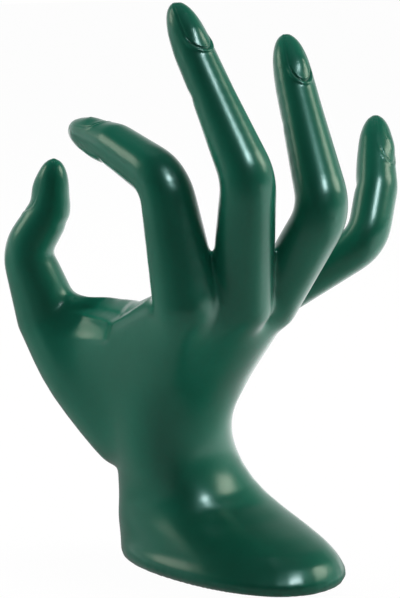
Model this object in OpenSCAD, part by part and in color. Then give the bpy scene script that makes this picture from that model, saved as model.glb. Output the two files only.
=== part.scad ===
// Hand-shaped jewellery stand: a hollow cast right hand on a flared foot, its thumb and index
// finger held in an open ring. Rings go on the fingers, chains and bangles over the open ring.
// Millimetres. +Z is up from the table and the origin is the middle of the foot on the table.
// +X is where the back of the hand faces, and +Y runs from the thumb side to the little finger.

/* [Foot] */
// Length of the foot, heel to toe
foot_length = 77.5; // [72:0.5:84]
// Width of the foot
foot_width = 47.5; // [45:0.5:54]
// Radius of the rounded lower edge of the foot
foot_edge = 3.5; // [3:0.5:5]
// Turn of the foot's long side towards the little finger side, in degrees
foot_turn = 15; // [5:1:25]
// Share by which the toe half of the foot is broader than the middle, and the heel half narrower
toe_fullness = 0; // [0:0.01:0.1]
// Height of the full foot, where its slope starts
foot_rise = 11.5; // [10:0.5:13]

/* [Wrist] */
// Height of the narrowest part of the wrist
wrist_height = 49.5; // [45:0.5:51]
// Thickness of the wrist, palm side to back
wrist_thickness = 28.5; // [26:0.5:33]
// Breadth of the wrist, thumb side to little finger side
wrist_breadth = 36; // [34:0.5:41]
// Distance of the wrist from the middle of the foot, towards the heel
wrist_setback = 19; // [16:0.5:22]
// Distance of the wrist from the middle of the foot, towards the thumb side
wrist_offset = 8; // [5:0.5:9]

/* [Palm] */
// Height of the middle finger's knuckle
knuckle_height = 81.5; // [77:0.25:86]
// Distance of the middle finger's knuckle from the middle of the foot, towards the toe
knuckle_reach = 10.75; // [8:0.25:13]
// Distance of the middle finger's knuckle from the middle of the foot, towards the thumb side
knuckle_offset = 3.25; // [0:0.25:5]
// Thickness of the palm where it leaves the wrist
palm_thickness = 19; // [17:0.25:21]
// Rise of the middle of the palm over its two edges at the knuckles
palm_arch = 13; // [9:0.5:15]
// Thickness of the skin between two fingers
web_thickness = 9.25; // [8:0.25:11]

/* [Thumb] */
// Thumb's knuckle from the wrist: towards the back, towards the little finger, up
thumb_place = [-35, -24.75, 22]; // [-42:0.25:30]
// Direction in which the thumb bends, round from the palm side, in degrees
thumb_yaw = -117.5; // [-128:0.5:-108]
// Lean of the thumb sideways, in degrees
thumb_spread = 0.5; // [-6:0.5:6]
// Lean of the thumb's first bone away from its bend, in degrees
thumb_lean = 18.5; // [8:0.5:24]
// Lengths of the thumb's first bone, and of its tip in two stretches
thumb_bones = [21.25, 14, 15.5]; // [11:0.25:24]
// Bends between these lengths, in degrees
thumb_bends = [49, -24]; // [-30:0.5:54]
// Breadths at the knuckle, the joint, the nail's root and the pad
thumb_breadths = [21, 15.75, 13.5, 11.5]; // [9:0.25:22]
// Breadth of the ball of the thumb
thumb_ball = 29.25; // [25:0.25:32]
// Lowest point of the web between thumb and index finger, from the index finger's knuckle
thumb_web = [-39.5, -8.5, -15.5]; // [-42:0.25:0]

/* [Index finger] */
// Knuckle from the middle finger's: towards the back, towards the little finger, up
index_place = [-3, -15.75, 1]; // [-18:0.25:4]
// Direction in which it bends, round from the palm side, in degrees
index_yaw = 4; // [-4:0.5:14]
// Lean towards the little finger side, in degrees
index_spread = -9.5; // [-14:0.5:-5]
// Lean of its first bone towards the back, in degrees
index_lean = -4; // [-10:0.5:0]
// Lengths of its first, second and tip bones
index_bones = [37.75, 25.25, 23.5]; // [18:0.25:42]
// Bends of its second and last joints, in degrees
index_bends = [68, 10.5]; // [5:0.5:72]
// Breadths at the knuckle, the second joint, the last joint and the pad
index_breadths = [20.5, 15.25, 13, 10.75]; // [9:0.25:22]

/* [Middle finger] */
// Direction in which it bends, round from the palm side, in degrees
middle_yaw = 1.5; // [-8:0.5:6]
// Lean towards the little finger side, in degrees
middle_spread = -7.5; // [-10:0.5:0]
// Lean of its first bone towards the back, in degrees
middle_lean = 17; // [10:0.5:22]
// Lengths of its first, second and tip bones
middle_bones = [41, 26.25, 30.5]; // [24:0.25:45]
// Bends of its second and last joints, in degrees
middle_bends = [49, 0]; // [0:0.5:56]
// Breadths at the knuckle, the second joint, the last joint and the pad
middle_breadths = [19, 16, 12.5, 11]; // [9:0.25:20]

/* [Ring finger] */
// Knuckle from the middle finger's: towards the back, towards the little finger, up
ring_place = [-4, 12, -1.5]; // [-8:0.25:16]
// Direction in which it bends, round from the palm side, in degrees
ring_yaw = 3.5; // [-6:0.5:8]
// Lean towards the little finger side, in degrees
ring_spread = 9; // [5:0.5:13]
// Lean of its first bone towards the back, in degrees
ring_lean = 33.5; // [26:0.5:38]
// Lengths of its first, second and tip bones
ring_bones = [37, 34.25, 23]; // [20:0.25:41]
// Bends of its second and last joints, in degrees
ring_bends = [66.5, -1]; // [-8:0.5:72]
// Breadths at the knuckle, the second joint, the last joint and the pad
ring_breadths = [16, 15.75, 12.25, 11.25]; // [9:0.25:18]

/* [Little finger] */
// Knuckle from the middle finger's: towards the back, towards the little finger, up
little_place = [-17, 22, -2]; // [-20:0.25:28]
// Direction in which it bends, round from the palm side, in degrees
little_yaw = 21.5; // [16:0.5:30]
// Lean towards the little finger side, in degrees
little_spread = 31; // [24:0.5:36]
// Lean of its first bone towards the back, in degrees
little_lean = 49.5; // [40:0.5:54]
// Lengths of its first, second and tip bones
little_bones = [33.5, 17.5, 24.75]; // [14:0.25:37]
// Bends of its second and last joints, in degrees
little_bends = [59, 11.5]; // [5:0.5:63]
// Breadths at the knuckle, the second joint, the last joint and the pad
little_breadths = [12.75, 13, 13, 11.25]; // [9:0.25:16]

/* [Inside] */
// Wall of the hollow foot and wrist
wall = 3.5; // [3:0.25:5]
// Flat rim under the foot, from its outline to the base plate
rim = 7; // [6.5:0.5:9]
// Ledge that the base plate seats on
ledge = 3; // [2:0.5:4]
// Thickness of the base plate
plate_thickness = 3; // [2:0.25:4]
// Thickness of the felt pad under the foot
pad_thickness = 1.5; // [1:0.25:3]
// Distance of the felt pad's edge from the foot's outline
pad_inset = 5.5; // [5:0.5:6]
// Height of the flange that carries the ledge
flange = 3; // [2.5:0.5:4]
// Height of the ballast weight
ballast_height = 7.5; // [5:0.5:8]
// Taper of the ballast weight on each side
ballast_taper = 5; // [4.5:0.5:7]
// Diameter of the stiffening wires cast into thumb and fingers
wire_diameter = 2; // [1.5:0.1:2.4]
// Distance of each wire's end from the finger's tip
wire_cover = 9; // [7:0.5:12]

/* [Hidden] */
plate_clearance = 0.2;
ballast_clearance = 0.5;
wire_clearance = 0.1;
joint_radius = 10;
wire_bend = 6;
finger_sides = 16;
body_sides = 40;
wire_sides = 8;
tip_steps = 5;
root_steps = 4;
ball_sides = 18;
flatness = 0.95;
nail_lift = 0.5;
tip_slimness = 1.1;
overlap = 1;
web_rise = 4;
hollow_top = 2;

wrist = [-wrist_setback, -wrist_offset, wrist_height];
knuckle = [knuckle_reach, -knuckle_offset, knuckle_height];
half_length = foot_length / 2;
half_width = foot_width / 2;
half_thickness = wrist_thickness / 2;
half_breadth = wrist_breadth / 2;
plate_top = pad_thickness + plate_thickness;

// Each finger as [knuckle, yaw, spread, lean, bones, bends, breadths]
thumb = [
    wrist + thumb_place, thumb_yaw, thumb_spread, thumb_lean, thumb_bones, thumb_bends, thumb_breadths
];
index = [
    knuckle + index_place, index_yaw, index_spread, index_lean, index_bones, index_bends, index_breadths
];
middle = [
    knuckle, middle_yaw, middle_spread, middle_lean, middle_bones, middle_bends, middle_breadths
];
ring = [
    knuckle + ring_place, ring_yaw, ring_spread, ring_lean, ring_bones, ring_bends, ring_breadths
];
little = [
    knuckle + little_place, little_yaw, little_spread, little_lean,
    little_bones, little_bends, little_breadths
];
four_fingers = [index, middle, ring, little];
all_fingers = concat([thumb], four_fingers);

// Where the palm's four rays and the thumb leave the wrist, and where the five wires end inside it
ray_starts = [
    for (p = [[0, -0.48, -0.12], [0.12, -0.24, -0.12], [0.06, -0.12, -0.18], [-0.18, 0.06, -0.24]])
        wrist + half_breadth * p
];
thumb_start = wrist + thumb_ball * [-0.45, -0.17, -0.42];
thumb_middle = mix(thumb_start, thumb[0], 0.6) - [0, 0, thumb_ball * 0.07];
web_low = index[0] + thumb_web;
wire_tails = [
    for (p = [
        [-0.24, -0.3, -0.48], [0, -0.54, -0.12], [0.18, -0.24, -0.12],
        [0.12, 0.06, -0.12], [-0.18, 0.3, -0.12]
    ]) wrist + half_breadth * p
];

// Smooth curve through rows of numbers
function between(rows, i, t) = let (
    a = rows[max(i - 1, 0)],
    b = rows[i],
    c = rows[i + 1],
    d = rows[min(i + 2, len(rows) - 1)]
) b + (c - a) * t / 2 + (2 * a - 5 * b + 4 * c - d) * t * t / 2 + (3 * b - a - 3 * c + d) * t * t * t / 2;
function smooth_rows(rows, steps) = [
    for (i = [0:len(rows) - 2], k = [0:steps - 1]) between(rows, i, k / steps),
    rows[len(rows) - 1]
];
function unit(v) = v / norm(v);
function mix(a, b, t) = a + (b - a) * t;
function total(list, i = 0) = i == len(list) ? 0 : list[i] + total(list, i + 1);

// Closed skin over rings of points, with the first and last ring capped
module skin(rings) {
    sides = len(rings[0]);
    last = (len(rings) - 1) * sides;
    polyhedron(
        points = [for (ring = rings) each ring],
        faces = concat(
            [[for (j = [0:sides - 1]) j]],
            [for (i = [0:len(rings) - 2], j = [0:sides - 1]) let (
                k = (j + 1) % sides,
                a = i * sides,
                b = a + sides
            ) each [[a + j, b + j, b + k], [a + j, b + k, a + k]]],
            [[for (j = [sides - 1:-1:0]) last + j]]
        ),
        convexity = 6
    );
}
module ball(at, diameter) translate(at) sphere(d = diameter, $fn = ball_sides);

// Foot, wrist and palm: rows of [x, y, z, half length, half width, tilt, turn, arch]
edge_inset = foot_edge * 0.3;
foot_rows = [
    [0, 0, pad_thickness, half_length - edge_inset, half_width - edge_inset, 0, foot_turn, 0],
    [0, 0, pad_thickness + foot_edge * 0.3, half_length - edge_inset * 0.3, half_width - edge_inset * 0.3,
        0, foot_turn, 0],
    [0, 0, pad_thickness + foot_edge, half_length, half_width, 0, foot_turn, 0],
    [wrist[0] * 0.3, 0, foot_rise, half_length * 0.97, half_width * 0.83, 0, foot_turn, 0],
    [wrist[0], wrist[1] * 0.27, foot_rise * 1.76, half_length * 0.617, half_width * 0.81, 0, foot_turn, 0],
    [wrist[0] * 1.06, wrist[1] * 0.94, wrist_height * 0.715, half_thickness * 1.17, half_breadth * 1.02,
        10.5, foot_turn / 2, 0],
    [wrist[0] * 0.96, wrist[1] * 1.13, wrist_height * 0.93, half_thickness * 1.03, half_breadth, 6, 0, 0]
];
knuckle_middle = mix(index[0], little[0], 0.5);
knuckle_span = norm(index[0] - little[0]) / 2;
palm_turn = atan2(index[0][0] - little[0][0], little[0][1] - index[0][1]);
// Each row of the palm as [share of the way to the knuckles, thickness, lost breadth, tilt, arch]
palm_rows = [
    for (r = [
        [0.3, 0.69, 0, 22, 0.15], [0.65, 0.56, 0, 30, 0.6], [1, 0.45, 0, 36, 1],
        [1.09, 0.36, 0.12, 36, 1], [1.15, 0.17, 0.42, 36, 1]
    ]) let (
        at = mix(wrist, knuckle_middle, r[0]),
        t = min(r[0], 1)
    ) [
        at[0], at[1], at[2],
        palm_thickness * r[1],
        mix(half_breadth * 0.88, knuckle_span * 1.25, t) - palm_thickness * r[2],
        r[3], palm_turn * t, palm_arch * r[4]
    ]
];
body_rows = concat(foot_rows, palm_rows);
hollow_rows = concat(foot_rows, [palm_rows[0], palm_rows[1]]);
function oval(half_x, half_y) = [
    for (j = [0:body_sides - 1]) let (c = cos(360 * j / body_sides), s = sin(360 * j / body_sides))
        [half_x * sign(c) * pow(abs(c), 0.9), half_y * sign(s) * pow(abs(s), 0.9) * (1 + toe_fullness * c)]
];
function body_ring(r, inset = 0) = [
    for (p = oval(r[3] - inset, r[4] - inset)) let (x = p[0] + r[7] * (0.5 - pow(p[1] / r[4], 2)))
        [r[0] + x * cos(r[5]) * cos(r[6]) - p[1] * sin(r[6]),
         r[1] + x * cos(r[5]) * sin(r[6]) + p[1] * cos(r[6]),
         r[2] - x * sin(r[5])]
];
module foot_outline(inset) rotate(foot_turn) polygon(oval(half_length - inset, half_width - inset));

// A finger's path in its bending plane: rows of [along, palmwards, heading, distance]
function move_end(at, heading, length, turn) = turn == 0
    ? at + length * [cos(heading), sin(heading)]
    : let (r = length * 180 / (turn * PI), h = heading + turn)
        at + r * [sin(h) - sin(heading), cos(heading) - cos(h)];
function trail(moves, at, heading, gone = 0, i = 0) = i == len(moves)
    ? [[at[0], at[1], heading, gone]]
    : let (m = moves[i])
        concat(
            [for (k = [0:m[2] - 1]) let (f = k / m[2], p = move_end(at, heading, m[0] * f, m[1] * f))
                [p[0], p[1], heading + m[1] * f, gone + m[0] * f]],
            trail(moves, move_end(at, heading, m[0], m[1]), heading + m[1], gone + m[0], i + 1)
        );
function corner(bend) = joint_radius * tan(abs(bend) / 2);
function arc(bend) = joint_radius * abs(bend) * PI / 180;
function tip_length(f) = min(f[6][3] * tip_slimness, (f[4][2] - corner(f[5][1])) * 0.75);
// Straight and curved stretches of a path as [length, turn, steps]
function stretches(f, cover) = let (bones = f[4], a = corner(f[5][0]), b = corner(f[5][1])) [
    [bones[0] - a, 0, 4],
    [arc(f[5][0]), f[5][0], 5],
    [bones[1] - a - b, 0, 3],
    [arc(f[5][1]), f[5][1], 2],
    [bones[2] - b - cover, 0, 3]
];
function moves(f, cover) = [for (s = stretches(f, cover)) if (s[0] > 0) s];
function path(f, cover) = trail(moves(f, cover), [0, 0], -f[3]);
function breadth(f, distance) = let (
    lengths = [for (s = stretches(f, tip_length(f))) s[0]],
    second = lengths[0] + lengths[1] / 2,
    last = second + lengths[1] / 2 + lengths[2] + lengths[3] / 2
) lookup(distance, [[0, f[6][0]], [second, f[6][1]], [last, f[6][2]], [total(lengths), f[6][3]]]);

function inwards(f) = [-cos(f[1]), -sin(f[1]), 0];
function upwards(f) = cos(f[2]) * [0, 0, 1] + sin(f[2]) * cross(inwards(f), [0, 0, 1]);
function place(f, row) = f[0] + row[0] * upwards(f) + row[1] * inwards(f);
function ahead(f, row) = cos(row[2]) * upwards(f) + sin(row[2]) * inwards(f);
function palmar(f, row) = cos(row[2]) * inwards(f) - sin(row[2]) * upwards(f);
function circle_at(centre, radius, e, w) = [
    for (j = [0:finger_sides - 1]) let (a = 360 * j / finger_sides)
        centre + radius * (flatness * cos(a) * e + sin(a) * w)
];
function ring_at(f, row, radius) = let (e = palmar(f, row), w = cross(ahead(f, row), e))
    circle_at(place(f, row), radius, e, w);
function rounded_end(f, row) = [
    for (k = [1:tip_steps]) let (
        turn = 84 * k / tip_steps,
        p = [row[0], row[1]] + tip_length(f) * sin(turn) * [cos(row[2]), sin(row[2])]
    ) ring_at(f, [p[0], p[1], row[2]], f[6][3] / 2 * cos(turn))
];

// Rings round a root of [x, y, z, breadth] rows that runs into the finger's first ring
function row_place(row) = [row[0], row[1], row[2]];
function root_rings(f, root) = let (
    after = f[0] + wire_bend * ahead(f, path(f, 0)[0]),
    rows = smooth_rows(concat(root, [concat(f[0], f[6][0]), concat(after, f[6][0])]), root_steps),
    side = cross(upwards(f), inwards(f))
) [for (k = [0:len(rows) - root_steps - 2]) let (
    t = unit(row_place(rows[k + 1]) - row_place(rows[max(k - 1, 0)])),
    w = unit(side - (side * t) * t)
) circle_at(row_place(rows[k]), rows[k][3] / 2, cross(w, t), w)];

module finger(f, root) {
    rows = path(f, tip_length(f));
    skin(concat(
        root_rings(f, root),
        [for (r = rows) ring_at(f, r, breadth(f, r[3]) / 2)],
        rounded_end(f, rows[len(rows) - 1])
    ));
}

// Raised nail on the back of the finger's end
module nail(f) {
    rows = path(f, tip_length(f));
    last = rows[len(rows) - 1];
    e = palmar(f, last);
    t = ahead(f, last);
    w = cross(t, e);
    half = f[6][3] / 2;
    at = place(f, last) - nail_lift * e;
    multmatrix([for (i = [0:2]) [t[i] * half * 1.45, w[i] * half * 0.82, e[i] * half * flatness, at[i]]])
        sphere(r = 1, $fn = ball_sides);
}

// A wire's route: up from its tail in the hollow, round the knuckle and along the finger
function wire_route(f, tail) = let (
    rows = path(f, wire_cover),
    before = f[0] + wire_bend * unit(tail - f[0]),
    after = f[0] + wire_bend * ahead(f, rows[0])
) concat(
    [tail],
    [for (t = [0:0.25:1]) (1 - t) * (1 - t) * before + 2 * t * (1 - t) * f[0] + t * t * after],
    [for (r = rows) if (r[3] > wire_bend + 0.5) place(f, r)]
);
module wire(i, gap = 0) {
    f = all_fingers[i];
    route = wire_route(f, wire_tails[i]);
    last = len(route) - 1;
    side = cross(upwards(f), inwards(f));
    skin([for (k = [0:last]) let (
        t = unit(route[min(k + 1, last)] - route[max(k - 1, 0)]),
        e = unit(side - (side * t) * t),
        w = cross(t, e),
        centre = route[k] + (k == last ? gap : 0) * t
    ) [for (j = [0:wire_sides - 1]) let (a = 360 * j / wire_sides)
        centre + (wire_diameter / 2 + gap) * (cos(a) * e + sin(a) * w)]]);
}

// Root of each finger inside the palm, and of the thumb in the ball of the thumb
thumb_root = [
    concat(mix(thumb_start, wrist, 0.5) - [0, 0, thumb_ball * 0.55], thumb_ball * 0.52),
    concat(thumb_start, thumb_ball),
    concat(thumb_middle, thumb_ball * 0.93)
];
function finger_root(f, start) = [
    concat(start, palm_thickness * 0.67),
    concat(mix(start, f[0], 0.5) + palm_thickness * [-0.16, 0, 0.08], f[6][0] * 0.82)
];
roots = concat([thumb_root], [for (k = [0:3]) finger_root(four_fingers[k], ray_starts[k])]);

// Skin between the roots of two neighbouring fingers
module finger_web(i) hull() for (f = [four_fingers[i], four_fingers[i + 1]])
    ball(f[0] + web_rise * upwards(f), web_thickness);

// Web from the ball of the thumb to the index finger: rows of its edge and its root with breadths
web_thumb = concat(thumb[0] + thumb_breadths[0] * [0.06, 0.08, 0], thumb_breadths[0] * 0.89);
web_index = concat(index[0], index_breadths[0] * 0.9);
web_edge = smooth_rows([web_thumb, concat(web_low, web_thickness * 0.9), web_index], 4);
web_back = smooth_rows([
    web_thumb,
    concat(web_low + web_thickness * [-1.05, 0.2, 0.8], web_thickness * 0.9),
    concat(mix(ray_starts[0], index[0], 0.75), index_breadths[0] * 0.75)
], 4);
web_root = smooth_rows([
    concat(thumb_middle, thumb_ball * 0.86),
    concat(mix(thumb_middle, ray_starts[0], 0.5), palm_thickness * 1.05),
    concat(mix(ray_starts[0], index[0], 0.4), palm_thickness * 0.89)
], 4);
web_foot = smooth_rows([
    concat(thumb_start, thumb_ball * 0.86),
    concat(mix(thumb_start, ray_starts[0], 0.5), palm_thickness * 1.05),
    concat(ray_starts[0], palm_thickness * 0.89)
], 4);
module thumb_web_skin() for (i = [0:len(web_edge) - 2]) hull()
    for (k = [i, i + 1], line = [web_edge, web_back, web_root, web_foot]) ball(row_place(line[k]), line[k][3]);

// Hollow of the foot and wrist, with its mouth through the flange and the plate's rebate
module hollow() {
    intersection() {
        skin([for (r = smooth_rows(hollow_rows, 3)) body_ring(r, wall)]);
        translate([0, 0, plate_top + flange])
            linear_extrude(wrist_height + hollow_top - plate_top - flange) foot_outline(0);
    }
    translate([0, 0, pad_thickness])
        linear_extrude(plate_thickness + flange + overlap) foot_outline(rim + ledge);
    translate([0, 0, pad_thickness - overlap]) linear_extrude(plate_thickness + overlap) foot_outline(rim);
}

module hand_casting() color("darkgreen") difference() {
    union() {
        skin([for (r = smooth_rows(body_rows, 3)) body_ring(r)]);
        for (i = [0:2]) finger_web(i);
        thumb_web_skin();
        for (i = [0:4]) {
            finger(all_fingers[i], roots[i]);
            nail(all_fingers[i]);
        }
    }
    hollow();
    for (i = [0:4]) wire(i, wire_clearance);
}
module thumb_wire() color("silver") wire(0);
module index_finger_wire() color("silver") wire(1);
module middle_finger_wire() color("silver") wire(2);
module ring_finger_wire() color("silver") wire(3);
module little_finger_wire() color("silver") wire(4);
module ballast_weight() color("dimgray") translate([0, 0, plate_top]) hull() {
    linear_extrude(overlap) foot_outline(rim + ledge + ballast_clearance);
    linear_extrude(ballast_height) foot_outline(rim + ledge + ballast_clearance + ballast_taper);
}
module base_plate() color("gray")
    translate([0, 0, pad_thickness]) linear_extrude(plate_thickness) foot_outline(rim + plate_clearance);
module base_pad() color("black") linear_extrude(pad_thickness) foot_outline(pad_inset);

hand_casting();
thumb_wire();
index_finger_wire();
middle_finger_wire();
ring_finger_wire();
little_finger_wire();
ballast_weight();
base_plate();
base_pad();
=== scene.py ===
import math
import bmesh
import bpy
import numpy as np
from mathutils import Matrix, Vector
from mathutils.bvhtree import BVHTree

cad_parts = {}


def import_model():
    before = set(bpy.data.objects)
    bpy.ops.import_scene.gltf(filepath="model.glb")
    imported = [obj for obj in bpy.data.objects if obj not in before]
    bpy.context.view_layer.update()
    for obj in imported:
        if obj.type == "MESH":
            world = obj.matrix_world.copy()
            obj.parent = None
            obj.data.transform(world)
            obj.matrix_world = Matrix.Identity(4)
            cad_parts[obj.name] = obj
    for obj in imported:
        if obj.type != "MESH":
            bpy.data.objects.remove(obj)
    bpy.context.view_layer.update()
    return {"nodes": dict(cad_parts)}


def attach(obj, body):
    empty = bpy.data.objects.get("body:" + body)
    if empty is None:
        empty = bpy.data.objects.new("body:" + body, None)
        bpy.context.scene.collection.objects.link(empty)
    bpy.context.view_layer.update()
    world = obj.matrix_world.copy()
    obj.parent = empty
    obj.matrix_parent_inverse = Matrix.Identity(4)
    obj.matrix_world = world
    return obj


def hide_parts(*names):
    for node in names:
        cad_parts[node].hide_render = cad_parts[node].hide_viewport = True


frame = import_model()
scene = bpy.context.scene
mm = 0.001
print("stand loaded:", len(frame["nodes"]), "solids")


# a direction by its azimuth and elevation in degrees
def towards(azimuth, elevation):
    turn, rise = math.radians(azimuth), math.radians(elevation)
    return Vector((math.cos(turn) * math.cos(rise), math.sin(turn) * math.cos(rise), math.sin(rise)))


# a new object in the scene
def added(name, data):
    made = bpy.data.objects.new(name, data)
    scene.collection.objects.link(made)
    return made


# puts a camera or lamp on a sphere round the middle of the picture, facing it
def aim(thing, azimuth, elevation, distance):
    thing.location = viewTarget + towards(azimuth, elevation) * distance * mm
    thing.rotation_euler = (viewTarget - thing.location).to_track_quat("-Z", "Y").to_euler()


# camera, a little above the palm and on the thumb's side of the back of the hand, in millimetres and degrees
view = {
    "target": (-8, -6, 81.5), "azimuth": -30, "elevation": 10, "distance": 700,
    "lens": 143.3, "sensor": 36,
}
viewTarget = Vector(view["target"]) * mm
lens = bpy.data.cameras.new("photoView")
lens.sensor_fit, lens.sensor_height, lens.lens = "VERTICAL", view["sensor"], view["lens"]
camera = added("photoView", lens)
aim(camera, view["azimuth"], view["elevation"], view["distance"])
scene.camera = camera
print("camera set")


# a socket that takes part in plain expressions
class Sock:
    def __init__(self, tree, socket=None):
        self.tree, self.socket = tree, socket

    # any node: its type, its settings, then the values or links of its sockets
    def node(self, kind, settings={}, sockets={}, out=0):
        made = self.tree.nodes.new(kind)
        for name, value in settings.items():
            setattr(made, name, value)
        for name, value in sockets.items():
            if isinstance(value, Sock):
                self.tree.links.new(value.socket, made.inputs[name])
            else:
                made.inputs[name].default_value = value
        return Sock(self.tree, made.outputs[out]) if made.outputs else None

    # values go through Math, vectors through Vector Math
    def maths(self, operation, a, b):
        vector = any(isinstance(x, Sock) and x.socket.type == "VECTOR" for x in (a, b))
        kind = "ShaderNodeVectorMath" if vector else "ShaderNodeMath"
        return self.node(kind, {"operation": operation}, {0: a, 1: b})

    def __add__(self, other):
        return self.maths("ADD", self, other)

    def __radd__(self, other):
        return self.maths("ADD", other, self)

    def __sub__(self, other):
        return self.maths("SUBTRACT", self, other)

    def __rsub__(self, other):
        return self.maths("SUBTRACT", other, self)

    def __mul__(self, other):
        return self.maths("MULTIPLY", self, other)

    def __rmul__(self, other):
        return self.maths("MULTIPLY", other, self)

    # a value along one fixed direction
    def along(self, direction):
        return self.node("ShaderNodeVectorMath", {"operation": "DOT_PRODUCT"},
                         {0: self, 1: tuple(direction)}, "Value")

    # colours between two, by this mask
    def blend(self, low, high):
        return self.node("ShaderNodeMix", {"data_type": "RGBA"}, {0: self, 6: low, 7: high}, 2)

    # a mask with its lows and highs pushed apart
    def between(self, low, high):
        return self.node("ShaderNodeMapRange", {"interpolation_type": "SMOOTHSTEP"},
                         {"Value": self, "From Min": low, "From Max": high})


# a colour as a paint chart gives it, 0 to 255, made linear by the sRGB curve
def chart(red, green, blue):
    return tuple((c / 255 / 12.92) if c < 10.3 else ((c / 255 + 0.055) / 1.055) ** 2.4
                 for c in (red, green, blue)) + (1,)


# an empty finish, its nodes, and each point's place on its own piece
def newFinish(name):
    finish = bpy.data.materials.new(name)
    finish.use_nodes = True
    finish.node_tree.nodes.clear()
    paint = Sock(finish.node_tree)
    return finish, paint, paint.node("ShaderNodeTexCoord", out="Object")


def finishWith(paint, shader):
    paint.node("ShaderNodeOutputMaterial", {}, {"Surface": shader})


# gloss lacquer over the cast hand; its darkest green is painted shade in the grooves, where lacquer also
# pools
lacquer = {
    "thin": (20, 100, 80), "full": (16, 92, 73), "pooledAndShaded": (10, 67, 54),
    "cloudSize": 32, "speckSize": 900, "speckShare": 0.2, "mottle": (0.3, 0.7),
    "peelSize": 520, "peelHeight": 0.012, "groove": (0.40, 0.485),
    "roughness": 0.3, "cloudRoughness": 0.12, "coatRoughness": 0.25,
}


def lacquerFinish():
    finish, paint, place = newFinish("deepGreenLacquer")
    clouds = paint.node("ShaderNodeTexNoise", {}, {
        "Vector": place, "Scale": lacquer["cloudSize"], "Detail": 4, "Roughness": 0.55})
    specks = paint.node("ShaderNodeTexNoise", {}, {
        "Vector": place, "Scale": lacquer["speckSize"], "Detail": 2, "Roughness": 0.6})
    peel = paint.node("ShaderNodeTexNoise", {}, {
        "Vector": place, "Scale": lacquer["peelSize"], "Detail": 1, "Roughness": 0.4})
    hollows = paint.node("ShaderNodeNewGeometry", out="Pointiness")
    coats = clouds * (1 - lacquer["speckShare"]) + specks * lacquer["speckShare"]
    green = coats.between(*lacquer["mottle"]).blend(chart(*lacquer["thin"]), chart(*lacquer["full"]))
    pooledAndShaded = 1 - hollows.between(*lacquer["groove"])  # painted shade: darker green in grooves and hollows, where lacquer also pools
    green = pooledAndShaded.blend(green, chart(*lacquer["pooledAndShaded"]))
    bump = paint.node("ShaderNodeBump", {}, {
        "Strength": lacquer["peelHeight"], "Distance": 0.0004, "Height": peel})
    finishWith(paint, paint.node("ShaderNodeBsdfPrincipled", {}, {
        "Base Color": green, "Roughness": lacquer["roughness"] + lacquer["cloudRoughness"] * clouds,
        "Specular IOR Level": 0.45, "Specular Tint": (0.2, 1.0, 0.75, 1),
        "Coat Weight": 1.0, "Coat Roughness": lacquer["coatRoughness"], "Coat IOR": 1.46, "Normal": bump}))
    return finish


# drawn steel of the five armature wires
steel = {
    "bright": (178, 180, 184), "dull": (120, 122, 126),
    "drawSize": 1600, "stainSize": 90, "stained": (0.35, 0.7),
}


def steelFinish():
    finish, paint, place = newFinish("drawnSteelWire")
    draw = paint.node("ShaderNodeTexNoise", {}, {
        "Vector": place * (1.0, 1.0, 0.12), "Scale": steel["drawSize"], "Detail": 3, "Roughness": 0.6})
    stain = paint.node("ShaderNodeTexNoise", {}, {
        "Vector": place, "Scale": steel["stainSize"], "Detail": 4, "Roughness": 0.6})
    bump = paint.node("ShaderNodeBump", {}, {"Strength": 0.25, "Distance": 0.0001, "Height": draw})
    finishWith(paint, paint.node("ShaderNodeBsdfPrincipled", {}, {
        "Base Color": stain.between(*steel["stained"]).blend(chart(*steel["bright"]), chart(*steel["dull"])),
        "Metallic": 1.0, "Roughness": 0.25 + 0.25 * draw, "Normal": bump}))
    return finish


# sand-cast iron of the ballast
iron = {
    "face": (70, 70, 72), "pit": (38, 37, 38), "rust": (92, 58, 42),
    "grainSize": 420, "grainy": (0.35, 0.65), "pitSize": 330, "pitShare": 0.6,
    "rustSize": 75, "rusty": (0.56, 0.72),
}


def ironFinish():
    finish, paint, place = newFinish("castIron")
    grain = paint.node("ShaderNodeTexNoise", {}, {
        "Vector": place, "Scale": iron["grainSize"], "Detail": 5, "Roughness": 0.65})
    pits = paint.node("ShaderNodeTexVoronoi", {"feature": "F1"}, {"Vector": place, "Scale": iron["pitSize"]})
    rust = paint.node("ShaderNodeTexNoise", {}, {
        "Vector": place, "Scale": iron["rustSize"], "Detail": 6, "Roughness": 0.7}).between(*iron["rusty"])
    face = grain.between(*iron["grainy"]).blend(chart(*iron["pit"]), chart(*iron["face"]))
    face = rust.blend(face, chart(*iron["rust"]))
    bump = paint.node("ShaderNodeBump", {}, {
        "Strength": 0.6, "Distance": 0.0004, "Height": grain + iron["pitShare"] * pits})
    finishWith(paint, paint.node("ShaderNodeBsdfPrincipled", {}, {
        "Base Color": face, "Metallic": 0.6 - 0.5 * rust,
        "Roughness": 0.55 + 0.3 * grain, "Normal": bump}))
    return finish


# moulded plastic of the closing plate, with a fine spark texture
plastic = {
    "low": (24, 26, 26), "high": (38, 41, 40),
    "sparkSize": 1300, "sparkShare": 0.6, "flowSize": 45, "mottle": (0.3, 0.7),
}


def plasticFinish():
    finish, paint, place = newFinish("sparkTexturedPlastic")
    spark = paint.node("ShaderNodeTexNoise", {}, {
        "Vector": place, "Scale": plastic["sparkSize"], "Detail": 3, "Roughness": 0.6})
    flow = paint.node("ShaderNodeTexNoise", {}, {
        "Vector": place, "Scale": plastic["flowSize"], "Detail": 3, "Distortion": 0.8})
    skin = spark * plastic["sparkShare"] + flow * (1 - plastic["sparkShare"])
    bump = paint.node("ShaderNodeBump", {}, {"Strength": 0.35, "Distance": 0.0002, "Height": spark})
    finishWith(paint, paint.node("ShaderNodeBsdfPrincipled", {}, {
        "Base Color": skin.between(*plastic["mottle"]).blend(chart(*plastic["low"]), chart(*plastic["high"])),
        "Roughness": 0.45 + 0.2 * spark, "Normal": bump}))
    return finish


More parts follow.
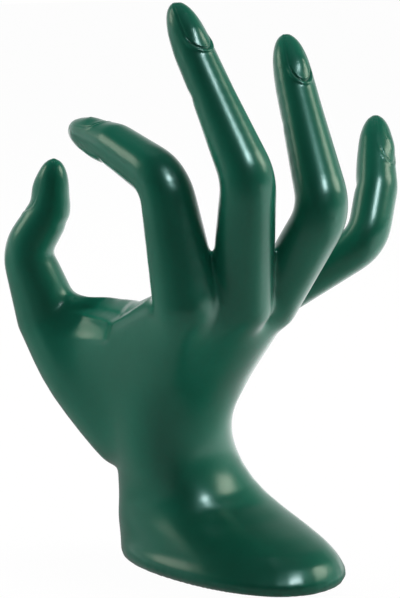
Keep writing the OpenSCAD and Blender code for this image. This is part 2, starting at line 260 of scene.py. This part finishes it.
# pressed wool felt under the foot
felt = {
    "shade": (16, 30, 26), "nap": (34, 54, 47),
    "fibreSize": 900, "fibreShare": 0.4, "matSize": 140, "matShare": 0.2, "tufts": (0.35, 0.65),
}


def feltFinish():
    finish, paint, place = newFinish("pressedFelt")
    lying = paint.node("ShaderNodeTexNoise", {}, {
        "Vector": place * (1.0, 0.16, 0.6), "Scale": felt["fibreSize"], "Detail": 3, "Distortion": 1.2})
    crossing = paint.node("ShaderNodeTexNoise", {}, {
        "Vector": place * (0.16, 1.0, 0.6), "Scale": felt["fibreSize"], "Detail": 3, "Distortion": 1.2})
    mat = paint.node("ShaderNodeTexNoise", {}, {"Vector": place, "Scale": felt["matSize"], "Detail": 4})
    fibres = felt["fibreShare"] * lying + felt["fibreShare"] * crossing + felt["matShare"] * mat
    fibres = fibres.between(*felt["tufts"])
    bump = paint.node("ShaderNodeBump", {}, {"Strength": 0.7, "Distance": 0.0003, "Height": fibres})
    finishWith(paint, paint.node("ShaderNodeBsdfPrincipled", {}, {
        "Base Color": fibres.blend(chart(*felt["shade"]), chart(*felt["nap"])),
        "Roughness": 0.88 + 0.1 * mat,
        "Specular IOR Level": 0.2, "Sheen Weight": 0.35, "Sheen Roughness": 0.5, "Normal": bump}))
    return finish


# hidden pieces keep their solids and take their own finishes
inner = {
    "steel": ["thumb_wire", "index_finger_wire", "middle_finger_wire",
              "ring_finger_wire", "little_finger_wire"],
    "iron": ["ballast_weight"],
    "plastic": ["base_plate"],
}
innerFinish = {"steel": steelFinish(), "iron": ironFinish(), "plastic": plasticFinish()}
for kind, names in inner.items():
    for name in names:
        mesh = frame["nodes"][name].data
        if mesh.materials:
            for place in range(len(mesh.materials)):
                mesh.materials[place] = innerFinish[kind]
        else:
            mesh.materials.append(innerFinish[kind])
print("inner pieces finished")


# the points of a mesh as rows, in millimetres
def asRows(mesh):
    rows = np.empty(len(mesh.vertices) * 3)
    mesh.vertices.foreach_get("co", rows)
    return rows.reshape(-1, 3) / mm


def putRows(mesh, rows):
    mesh.vertices.foreach_set("co", (rows * mm).ravel())
    mesh.update()


def normalsOf(mesh):
    normals = np.empty(len(mesh.vertices) * 3)
    mesh.vertices.foreach_get("normal", normals)
    return normals.reshape(-1, 3)


# rises smoothly from 0 at 0 to 1 at 1
def step01(x):
    x = np.clip(x, 0, 1)
    return x * x * (3 - 2 * x)


# rises smoothly where a value passes a start, over a fade
def past(value, start, fade):
    return step01((value - start) / fade)


# falls smoothly where a value comes up to an end, over a fade
def before(value, end, fade):
    return step01((end - value) / fade)


# 1 at a middle, falling to nothing on both sides
def bell(value, middle, width):
    return np.exp(-((value - middle) / width) ** 2)


# moves each point towards the mean of its neighbours, and gives back the thickness that this takes
def eased(mesh, weight, rounds):
    edges = np.empty(len(mesh.edges) * 2, int)
    mesh.edges.foreach_get("vertices", edges)
    edges = edges.reshape(-1, 2)
    rows = asRows(mesh)
    weight = np.where(weight > 0.004, weight, 0)  # points with hardly any weight stay
    points, edges = np.unique(edges[(weight[edges] > 0).any(1)], return_inverse=True)
    a, b = edges.reshape(-1, 2).T
    count = len(points)
    pace = 0.5 * weight[points]  # half way in each round, where the weight is 1
    pull = pace / np.bincount(np.concatenate((a, b)), minlength=count)
    hold = 1 - pace

    def relaxed(part):
        for turn in range(rounds):
            part = np.stack([hold * x + pull * (np.bincount(a, x[b], count) + np.bincount(b, x[a], count))
                             for x in part.T], 1)
        return part

    once = relaxed(rows[points])
    rows[points] = 2 * once - relaxed(once)
    putRows(mesh, rows)


# the hand: the casting's form, eased into one smooth skin, in millimetres
hand = {
    "grid": 0.7, "wireClear": 1.4, "rounds": 40, "ease": 0.5, "swell": 0.1,
    "rimEase": 0.05, "rimHeight": 3, "rimFade": 8,
    "palm": (-20, -8, 62), "palmReach": (44, 34, 40), "palmEdge": 1.15, "palmFade": 0.5, "palmRounds": 420,
    "backFacing": (0.85, -0.49, 0.17), "backFrom": 0.15, "backFade": 0.4,
}


# the casting as an even grid of small faces
def gridSkin():
    skin = added("lacqueredHand", frame["nodes"]["hand_casting"].data.copy())
    grid = skin.modifiers.new("grid", "REMESH")
    grid.mode, grid.voxel_size = "VOXEL", hand["grid"] * mm
    made = bpy.data.meshes.new_from_object(skin.evaluated_get(bpy.context.evaluated_depsgraph_get()))
    skin.modifiers.clear()
    skin.data = made
    made.materials.clear()
    return skin


# the faces of the five wires, to be searched by nearness
def wireTree():
    points, faces = [], []
    for name in inner["steel"]:
        wire = frame["nodes"][name].data
        faces += [[len(points) + i for i in face.vertices] for face in wire.polygons]
        points += [v.co.copy() for v in wire.vertices]
    return BVHTree.FromPolygons(points, faces)


# the points of the largest part that hangs together
def largestPart(form):
    parts, found = [], set()
    for first in form.verts:
        if first in found:
            continue
        found.add(first)
        part, waiting = [], [first]
        while waiting:
            point = waiting.pop()
            part.append(point)
            for edge in point.link_edges:
                other = edge.other_vert(point)
                if other not in found:
                    found.add(other)
                    waiting.append(other)
        parts.append(part)
    return max(parts, key=len)


# takes away the narrow wire ways and all but the skin itself, and fills the holes that this leaves
def closeWays(skin):
    wires = wireTree()
    form = bmesh.new()
    form.from_mesh(skin.data)
    ways = []
    for point in form.verts:
        near = wires.find_nearest(point.co, hand["wireClear"] * mm)[0]
        if near and (near - point.co).dot(point.normal) > 0:
            ways.append(point)
    bmesh.ops.delete(form, geom=ways, context="VERTS")
    outer = set(largestPart(form))
    bmesh.ops.delete(form, geom=[point for point in form.verts if point not in outer], context="VERTS")
    rims = [edge for edge in form.edges if edge.is_boundary]
    filled = bmesh.ops.holes_fill(form, edges=rims, sides=0)["faces"]
    bmesh.ops.triangulate(form, faces=filled)
    form.to_mesh(skin.data)
    form.free()
    print("hand grid:", len(skin.data.vertices), "points,", len(filled), "holes filled")


# eases all of it a little, and the back of the palm a lot, but not the web or the outer edges
def easeHand(skin):
    rows = asRows(skin.data)
    aboveRim = np.clip((rows[:, 2] - hand["rimHeight"]) / hand["rimFade"], 0, 1)
    foot = hand["rimEase"] + (1 - hand["rimEase"]) * aboveRim
    eased(skin.data, hand["ease"] * foot, hand["rounds"])
    reach = np.sqrt((((rows - hand["palm"]) / hand["palmReach"]) ** 2).sum(1))
    back = past(normalsOf(skin.data) @ hand["backFacing"], hand["backFrom"], hand["backFade"])
    eased(skin.data, before(reach, hand["palmEdge"], hand["palmFade"]) * foot * back, hand["palmRounds"])
    putRows(skin.data, asRows(skin.data) + hand["swell"] * normalsOf(skin.data))
    print("hand eased")


# the foot's flank under the thumb side, filled to a straighter slope, in millimetres
flank = {
    "fill": 3.1, "height": 12.8, "spread": 7.8, "side": -7, "sideFade": 11,
    "azimuth": -80, "turned": 0.2, "turnedFade": 0.6, "front": -30, "frontFade": 0.6,
    "ease": 0.8, "easeReach": 6, "rounds": 30,
}


def fillFlank(skin):
    rows, facing = asRows(skin.data), normalsOf(skin.data)
    push, front = (np.array(towards(flank[way], 0)) for way in ("azimuth", "front"))
    share = bell(rows[:, 2], flank["height"], flank["spread"])
    share *= before(rows[:, 1], flank["side"], flank["sideFade"])
    share *= past(facing @ push, flank["turned"], flank["turnedFade"])
    share *= past(facing @ front, 0, flank["frontFade"])
    putRows(skin.data, rows + flank["fill"] * share[:, None] * push)
    eased(skin.data, flank["ease"] * step01(share * flank["easeReach"]), flank["rounds"])
    print("flank filled")


# the fold of the web, in millimetres: its outer face steps back over a bent ridge, with a shoulder under it
web = {
    "bend": -21, "height": 74.2, "rise": 0.55, "from": -43, "to": 0, "fade": 5, "deep": -15, "deepFade": 8,
    "top": 90, "topFade": 4, "step": 2.4, "soft": 1.3,
    "shoulder": 1.7, "low": 7.4, "high": 1.6, "until": -19, "untilFade": 6,
    "near": 4.0, "nearFade": 2.5, "ease": 0.7, "rounds": 8,
}


def foldWeb(skin):
    rows = asRows(skin.data)
    x, y, z = rows.T
    over = z - web["height"] - web["rise"] * np.clip(x - web["bend"], 0, None)  # height over the ridge
    share = past(x, web["from"], web["fade"]) * before(x, web["to"], web["fade"])
    share *= before(y, web["deep"], web["deepFade"])
    below = share * before(z, web["top"], web["topFade"])
    slope = past(over, -web["low"], web["low"] - web["high"]) * before(x, web["until"], web["untilFade"])
    near = share * before(np.abs(over), web["near"], web["nearFade"])
    rows[:, 1] += below * (web["step"] * past(over, 0, web["soft"]) + web["shoulder"] * slope)
    putRows(skin.data, rows)
    eased(skin.data, web["ease"] * near, web["rounds"])
    print("web folded")


# the fingers as the solids have them, with their nails and soft pads, in millimetres and degrees
fingers = {
    "thumb": {
        "at": (-54, -32.75, 71.5), "yaw": -117.5, "spread": 0.5, "lean": 18.5,
        "bones": (21.25, 14, 15.5), "bends": (49, -24), "breadth": 11.5, "tip": 10.03,
        "halfAngle": 42, "turn": 0, "depth": 0.3, "pad": 0.3, "crease": -8, "grow": 0.9,
    },
    "index": {
        "at": (7.75, -19, 82.5), "yaw": 4, "spread": -9.5, "lean": -4,
        "bones": (37.75, 25.25, 23.5), "bends": (68, 10.5), "breadth": 10.75, "tip": 11.83,
        "halfAngle": 44, "turn": 0, "depth": 0.4, "pad": 0.7, "crease": -11, "grow": 0,
    },
    "middle": {
        "at": (10.75, -3.25, 81.5), "yaw": 1.5, "spread": -7.5, "lean": 17,
        "bones": (41, 26.25, 30.5), "bends": (49, 0), "breadth": 11, "tip": 12.1,
        "halfAngle": 46, "turn": 8, "depth": 1, "pad": 0.45, "crease": -16, "grow": 0.3,
    },
    "ring": {
        "at": (6.75, 8.75, 80), "yaw": 3.5, "spread": 9, "lean": 33.5,
        "bones": (37, 34.25, 23), "bends": (66.5, -1), "breadth": 11.25, "tip": 12.38,
        "halfAngle": 36, "turn": -10, "depth": 1, "pad": 0.45, "crease": -16, "grow": 0.2,
    },
    "little": {
        "at": (-6.25, 18.75, 79.5), "yaw": 21.5, "spread": 31, "lean": 49.5,
        "bones": (33.5, 17.5, 24.75), "bends": (59, 11.5), "breadth": 11.25, "tip": 12.38,
        "halfAngle": 38, "turn": -12, "depth": 0.4, "pad": 0.3, "crease": -12, "grow": 0,
    },
}
jointRadius = 10  # of a finger's centre line where it bends
# a nail's form in millimetres; root, rootCurve, behind, under, over and beside are in half breadths
nailForm = {
    "root": -1.0, "rootCurve": 1.05, "rootFade": 0.6, "tipShare": 0.97,
    "behind": 2.2, "under": 0.6, "over": 2.2, "beside": 2, "ahead": 2.0,
    "cuts": 2, "finer": 2.2, "easeFrom": 2.4, "easeFade": 0.8, "ease": 0.8, "rounds": 6,
    "plate": 0.1, "plateFade": 0.55, "groove": 0.32, "grooveWidth": 0.28, "sideGroove": 0.2,
    "fold": 0.34, "foldPlace": 0.8, "foldWidth": 0.5, "foldEnd": 0.4,
}
# the soft pads on the palm side, the creases behind them, and how much slimmer the tips get
padForm = {
    "place": -3.5, "reach": 7.5, "length": 22, "beside": 2, "crease": 0.35, "creaseWidth": 1.6,
    "taper": 0.05, "taperFrom": 5,
}


# the last straight stretch of a finger: its end, and its directions ahead and outwards on the back
def fingerEnd(finger):
    yaw, spread, lean = (math.radians(finger[way]) for way in ("yaw", "spread", "lean"))
    inwards = Vector((-math.cos(yaw), -math.sin(yaw), 0))
    upwards = math.cos(spread) * Vector((0, 0, 1)) + math.sin(spread) * inwards.cross(Vector((0, 0, 1)))
    at, heading = Vector((0, 0)), -lean
    corners = [jointRadius * math.tan(math.radians(abs(bend)) / 2) for bend in finger["bends"]]
    straights = [finger["bones"][0] - corners[0], finger["bones"][1] - corners[0] - corners[1],
                 finger["bones"][2] - corners[1] - finger["tip"]]
    for k, straight in enumerate(straights):
        at += straight * Vector((math.cos(heading), math.sin(heading)))
        if k < 2 and finger["bends"][k]:
            turn = math.radians(finger["bends"][k])
            arc = math.copysign(jointRadius, turn)
            at += arc * Vector((math.sin(heading + turn) - math.sin(heading),
                                math.cos(heading) - math.cos(heading + turn)))
            heading += turn
    ahead = math.cos(heading) * upwards + math.sin(heading) * inwards
    palmar = math.cos(heading) * inwards - math.sin(heading) * upwards
    return Vector(finger["at"]) + at[0] * upwards + at[1] * inwards, ahead, -palmar


# which points are near a nail, how far inside its edge and how close to its root, and their places about it
def nailPlan(rows, finger):
    end, ahead, outwards = (np.array(v) for v in fingerEnd(finger))
    across = np.cross(ahead, outwards)
    turn = math.radians(finger["turn"])
    outwards, across = (math.cos(turn) * outwards + math.sin(turn) * across,
                        math.cos(turn) * across - math.sin(turn) * outwards)
    half = finger["breadth"] / 2
    away = rows - end
    along, side, up = away @ ahead, away @ across, away @ outwards
    near = (along > -nailForm["behind"] * half) & (along < finger["tip"] + nailForm["ahead"])
    near &= (up > -nailForm["under"] * half) & (up < nailForm["over"] * half)
    near &= np.abs(side) < nailForm["beside"] * half

    arc = np.abs(np.arctan2(side, up)) * half
    width = math.radians(finger["halfAngle"]) * half
    curve = nailForm["rootCurve"] * half
    start = nailForm["root"] * half + curve
    back = np.clip((start - along) / curve, 0, None)
    oval = np.hypot(arc / width, back)
    inside = (1 - oval) * np.where(back > 0, (width + curve) / 2, width)
    inside = np.minimum(inside, finger["tip"] * nailForm["tipShare"] - along)
    return near, inside, step01(back / nailForm["rootFade"]), along, side, up


# tips slim down towards their ends, and some reach further
def slimTips(skin):
    rows = asRows(skin.data)
    for finger in fingers.values():
        end, ahead, outwards = (np.array(v) for v in fingerEnd(finger))
        along = (rows - end) @ ahead
        away = rows - end - along[:, None] * ahead
        late = past(along, -padForm["taperFrom"], finger["tip"] + padForm["taperFrom"])
        late *= np.linalg.norm(away, axis=1) < finger["breadth"]
        late *= along < finger["tip"] + nailForm["ahead"]
        rows += late[:, None] * (finger["grow"] * ahead - padForm["taper"] * away)
    putRows(skin.data, rows)
    print("fingertips slimmed")


# finer faces round each nail
def refineNails(skin):
    rows = asRows(skin.data)
    wanted = np.zeros(len(rows), bool)
    for finger in fingers.values():
        near, inside = nailPlan(rows, finger)[:2]
        wanted |= near & (inside > -nailForm["finer"])
    form = bmesh.new()
    form.from_mesh(skin.data)
    edges = [edge for edge in form.edges if all(wanted[point.index] for point in edge.verts)]
    bmesh.ops.subdivide_edges(form, edges=edges, cuts=nailForm["cuts"], use_grid_fill=True)
    bmesh.ops.triangulate(form, faces=[face for face in form.faces if len(face.verts) > 4])
    form.to_mesh(skin.data)
    form.free()
    print("faces round the nails refined")


# each nail's plate, groove and fold, and the pad and crease on the finger's palm side
def carveNails(skin):
    rows = asRows(skin.data)
    weight, lift = np.zeros(len(rows)), np.zeros(len(rows))
    for name, finger in fingers.items():
        near, inside, root, along, side, up = nailPlan(rows, finger)
        weight = np.maximum(weight, near * past(inside, -nailForm["easeFrom"], nailForm["easeFade"]))
        depth = nailForm["sideGroove"] + (1 - nailForm["sideGroove"]) * root  # deepest round the root
        plate = nailForm["plate"] * step01(inside / nailForm["plateFade"])
        groove = nailForm["groove"] * depth * bell(inside, 0, nailForm["grooveWidth"])
        fold = nailForm["fold"] * depth * bell(inside, -nailForm["foldPlace"], nailForm["foldWidth"])
        lift += finger["depth"] * near * (plate - groove + fold * (inside < nailForm["foldEnd"]))

        half = finger["breadth"] / 2
        palmar = step01(-up / half) * (np.hypot(side, up) < padForm["beside"] * half)
        palmar *= np.abs(along) < padForm["length"]
        soft = finger["pad"] * bell(along, padForm["place"], padForm["reach"])
        crease = padForm["crease"] * bell(along, finger["crease"], padForm["creaseWidth"])
        lift += palmar * (soft - crease)
        print("nail and pad on the", name, int((near & (inside > 0)).sum()), "points")
    eased(skin.data, nailForm["ease"] * weight, nailForm["rounds"])
    putRows(skin.data, asRows(skin.data) + lift[:, None] * normalsOf(skin.data))


handSkin = gridSkin()
closeWays(handSkin)
easeHand(handSkin)
fillFlank(handSkin)
foldWeb(handSkin)
slimTips(handSkin)
refineNails(handSkin)
carveNails(handSkin)
handSkin.data.polygons.foreach_set("use_smooth", [True] * len(handSkin.data.polygons))
handSkin.data.materials.append(lacquerFinish())
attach(handSkin, "root")
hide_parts("hand_casting")
print("hand made:", len(handSkin.data.polygons), "faces")


# the felt pad, cut to the foot's oval and pressed a little thinner round its edge
pad = {
    "length": 66.5, "width": 36.5, "turn": 15, "thick": 1.5, "sides": 128, "power": 0.9,
    "edge": [(0.55, 0.0), (0.2, 0.12), (0.03, 0.4), (0.0, 0.75), (0.03, 1.1), (0.2, 1.38), (0.55, 1.5)],
    "rings": (0.8, 0.6, 0.4, 0.2), "ruffle": 0.06, "flatShare": 0.3, "proud": 0.05, "seed": 4,
}


def padOval(inset, share=1.0):
    points = []
    turn = math.radians(pad["turn"])
    for j in range(pad["sides"]):
        angle = 2 * math.pi * j / pad["sides"]
        c, s = math.cos(angle), math.sin(angle)
        x = math.copysign(abs(c) ** pad["power"], c) * (pad["length"] / 2 - inset) * share
        y = math.copysign(abs(s) ** pad["power"], s) * (pad["width"] / 2 - inset) * share
        points.append((x * math.cos(turn) - y * math.sin(turn), x * math.sin(turn) + y * math.cos(turn)))
    return np.array(points)


def makePad():
    chance = np.random.default_rng(pad["seed"])
    form = bmesh.new()
    under, over = ([[(x, y, z) for x, y in padOval(inset, share)] for share in pad["rings"]]
                   for inset, z in (pad["edge"][0], pad["edge"][-1]))
    loops = under[::-1]
    for inset, z in pad["edge"]:
        ruffle = pad["ruffle"] * (1 if 0 < z < pad["thick"] else pad["flatShare"])
        wander = chance.normal(0, ruffle, pad["sides"])
        wander = (wander + np.roll(wander, 1) + np.roll(wander, -1)) / 3
        flat = padOval(inset)
        out = flat / np.linalg.norm(flat, axis=1)[:, None]
        wavy = flat + out * np.minimum(wander, inset + pad["proud"])[:, None]
        loops.append([(x, y, z) for x, y in wavy])
    rings = [[form.verts.new(Vector(p) * mm) for p in loop] for loop in loops + over]
    for low, high in zip(rings, rings[1:]):
        for j in range(pad["sides"]):
            k = (j + 1) % pad["sides"]
            form.faces.new((low[j], low[k], high[k], high[j]))
    form.faces.new(list(reversed(rings[0])))
    form.faces.new(rings[-1])
    bmesh.ops.recalc_face_normals(form, faces=form.faces)
    mesh = bpy.data.meshes.new("feltPad")
    form.to_mesh(mesh)
    form.free()
    mesh.polygons.foreach_set("use_smooth", [True] * len(mesh.polygons))
    mesh.materials.append(feltFinish())
    return added("feltPad", mesh)


feltPad = makePad()
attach(feltPad, "root")
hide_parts("base_pad")
print("felt pad made")


# a pale table top that runs out of sight, brighter in gloss on the right and dimmer in front
table = {
    "size": 6.0, "colour": (236, 236, 234), "shown": 0.98, "mirrored": 0.2,
    "right": 100, "rightLevel": 1.0, "rightFrom": 0.03, "rightTo": 0.14,
    "front": -30, "frontDim": 0.9, "frontFrom": 0.1, "frontTo": 0.38,
}


def makeTable():
    form = bmesh.new()
    bmesh.ops.create_grid(form, x_segments=8, y_segments=8, size=table["size"] / 2)
    mesh = bpy.data.meshes.new("paleTable")
    form.to_mesh(mesh)
    form.free()
    finish, paint, place = newFinish("paleTableTop")
    direct, gloss, through = (paint.node("ShaderNodeLightPath", out=name) for name in (
        "Is Camera Ray", "Is Glossy Ray", "Is Transmission Ray"))
    mirrors = gloss + through
    seen = table["shown"] * (direct + mirrors)
    lit = paint.node("ShaderNodeBsdfDiffuse", {}, {"Color": chart(*table["colour"])})
    across, ahead = (place.along(towards(table[side], 0)) for side in ("right", "front"))
    glow = table["mirrored"] * (1 - table["frontDim"] * ahead.between(table["frontFrom"], table["frontTo"]))
    glow = glow + table["rightLevel"] * across.between(table["rightFrom"], table["rightTo"])
    white = paint.node("ShaderNodeEmission", {}, {"Color": direct + glow * mirrors, "Strength": 1.0})
    finishWith(paint, paint.node("ShaderNodeMixShader", {}, {0: seen, 1: lit, 2: white}))
    mesh.materials.append(finish)
    return added("paleTable", mesh)


makeTable()


# a white cove low behind the hand, in a room that is dim above it and in front
room = {"white": 0.66, "dim": 0.03, "front": (-30, 58), "start": -0.45, "end": 0.3}


def makeRoom():
    world = bpy.data.worlds.new("studio")
    scene.world = world
    world.use_nodes = True
    world.node_tree.nodes.clear()
    air = Sock(world.node_tree)
    way = air.node("ShaderNodeTexCoord", out="Generated")
    front = way.along(towards(*room["front"]))
    level = (1 - front.between(room["start"], room["end"])) * (room["white"] - room["dim"]) + room["dim"]
    rays = [air.node("ShaderNodeLightPath", out=name) for name in ("Is Camera Ray", "Is Transmission Ray")]
    seen = air.maths("MAXIMUM", *rays)
    strength = seen + (1 - seen) * level
    air.node("ShaderNodeOutputWorld", {}, {
        "Surface": air.node("ShaderNodeBackground", {}, {"Color": (1, 1, 1, 1), "Strength": strength})})


makeRoom()

# a cool soft box for gloss, a dimmer warm one on each side, and cards that fill matt shade; in millimetres
lamps = {
    "coolBox": {"azimuth": 3, "elevation": 50, "distance": 900, "size": (190, 230), "power": 4.2,
                "colour": (0.88, 0.93, 1.0), "gloss": True, "matt": False},
    "warmBox": {"azimuth": 64, "elevation": 34, "distance": 1000, "size": (360, 420), "power": 2.6,
                "colour": (1.0, 0.9, 0.76), "gloss": True, "matt": True},
    "farWarmBox": {"azimuth": -134, "elevation": 30, "distance": 1000, "size": (360, 340), "power": 1.1,
                   "colour": (1.0, 0.9, 0.76), "gloss": True, "matt": True},
    "leftCard": {"azimuth": -124, "elevation": 4, "distance": 800, "size": (500, 500), "power": 4.3,
                 "colour": (1, 1, 1), "gloss": False, "matt": True},
    "rightCard": {"azimuth": 76, "elevation": 4, "distance": 800, "size": (500, 500), "power": 7.4,
                  "colour": (1, 1, 1), "gloss": False, "matt": True},
    "backCard": {"azimuth": 150, "elevation": 68, "distance": 900, "size": (600, 400), "power": 8.1,
                 "colour": (1, 1, 1), "gloss": False, "matt": True},
}
for name, lamp in lamps.items():
    light = bpy.data.lights.new(name, "AREA")
    light.shape, light.size, light.size_y = "RECTANGLE", lamp["size"][0] * mm, lamp["size"][1] * mm
    light.energy, light.color = lamp["power"], lamp["colour"]
    holder = added(name, light)
    holder.visible_glossy, holder.visible_diffuse = lamp["gloss"], lamp["matt"]
    aim(holder, lamp["azimuth"], lamp["elevation"], lamp["distance"])
scene.view_settings.view_transform = "Standard"
print("table, room and lamps set")
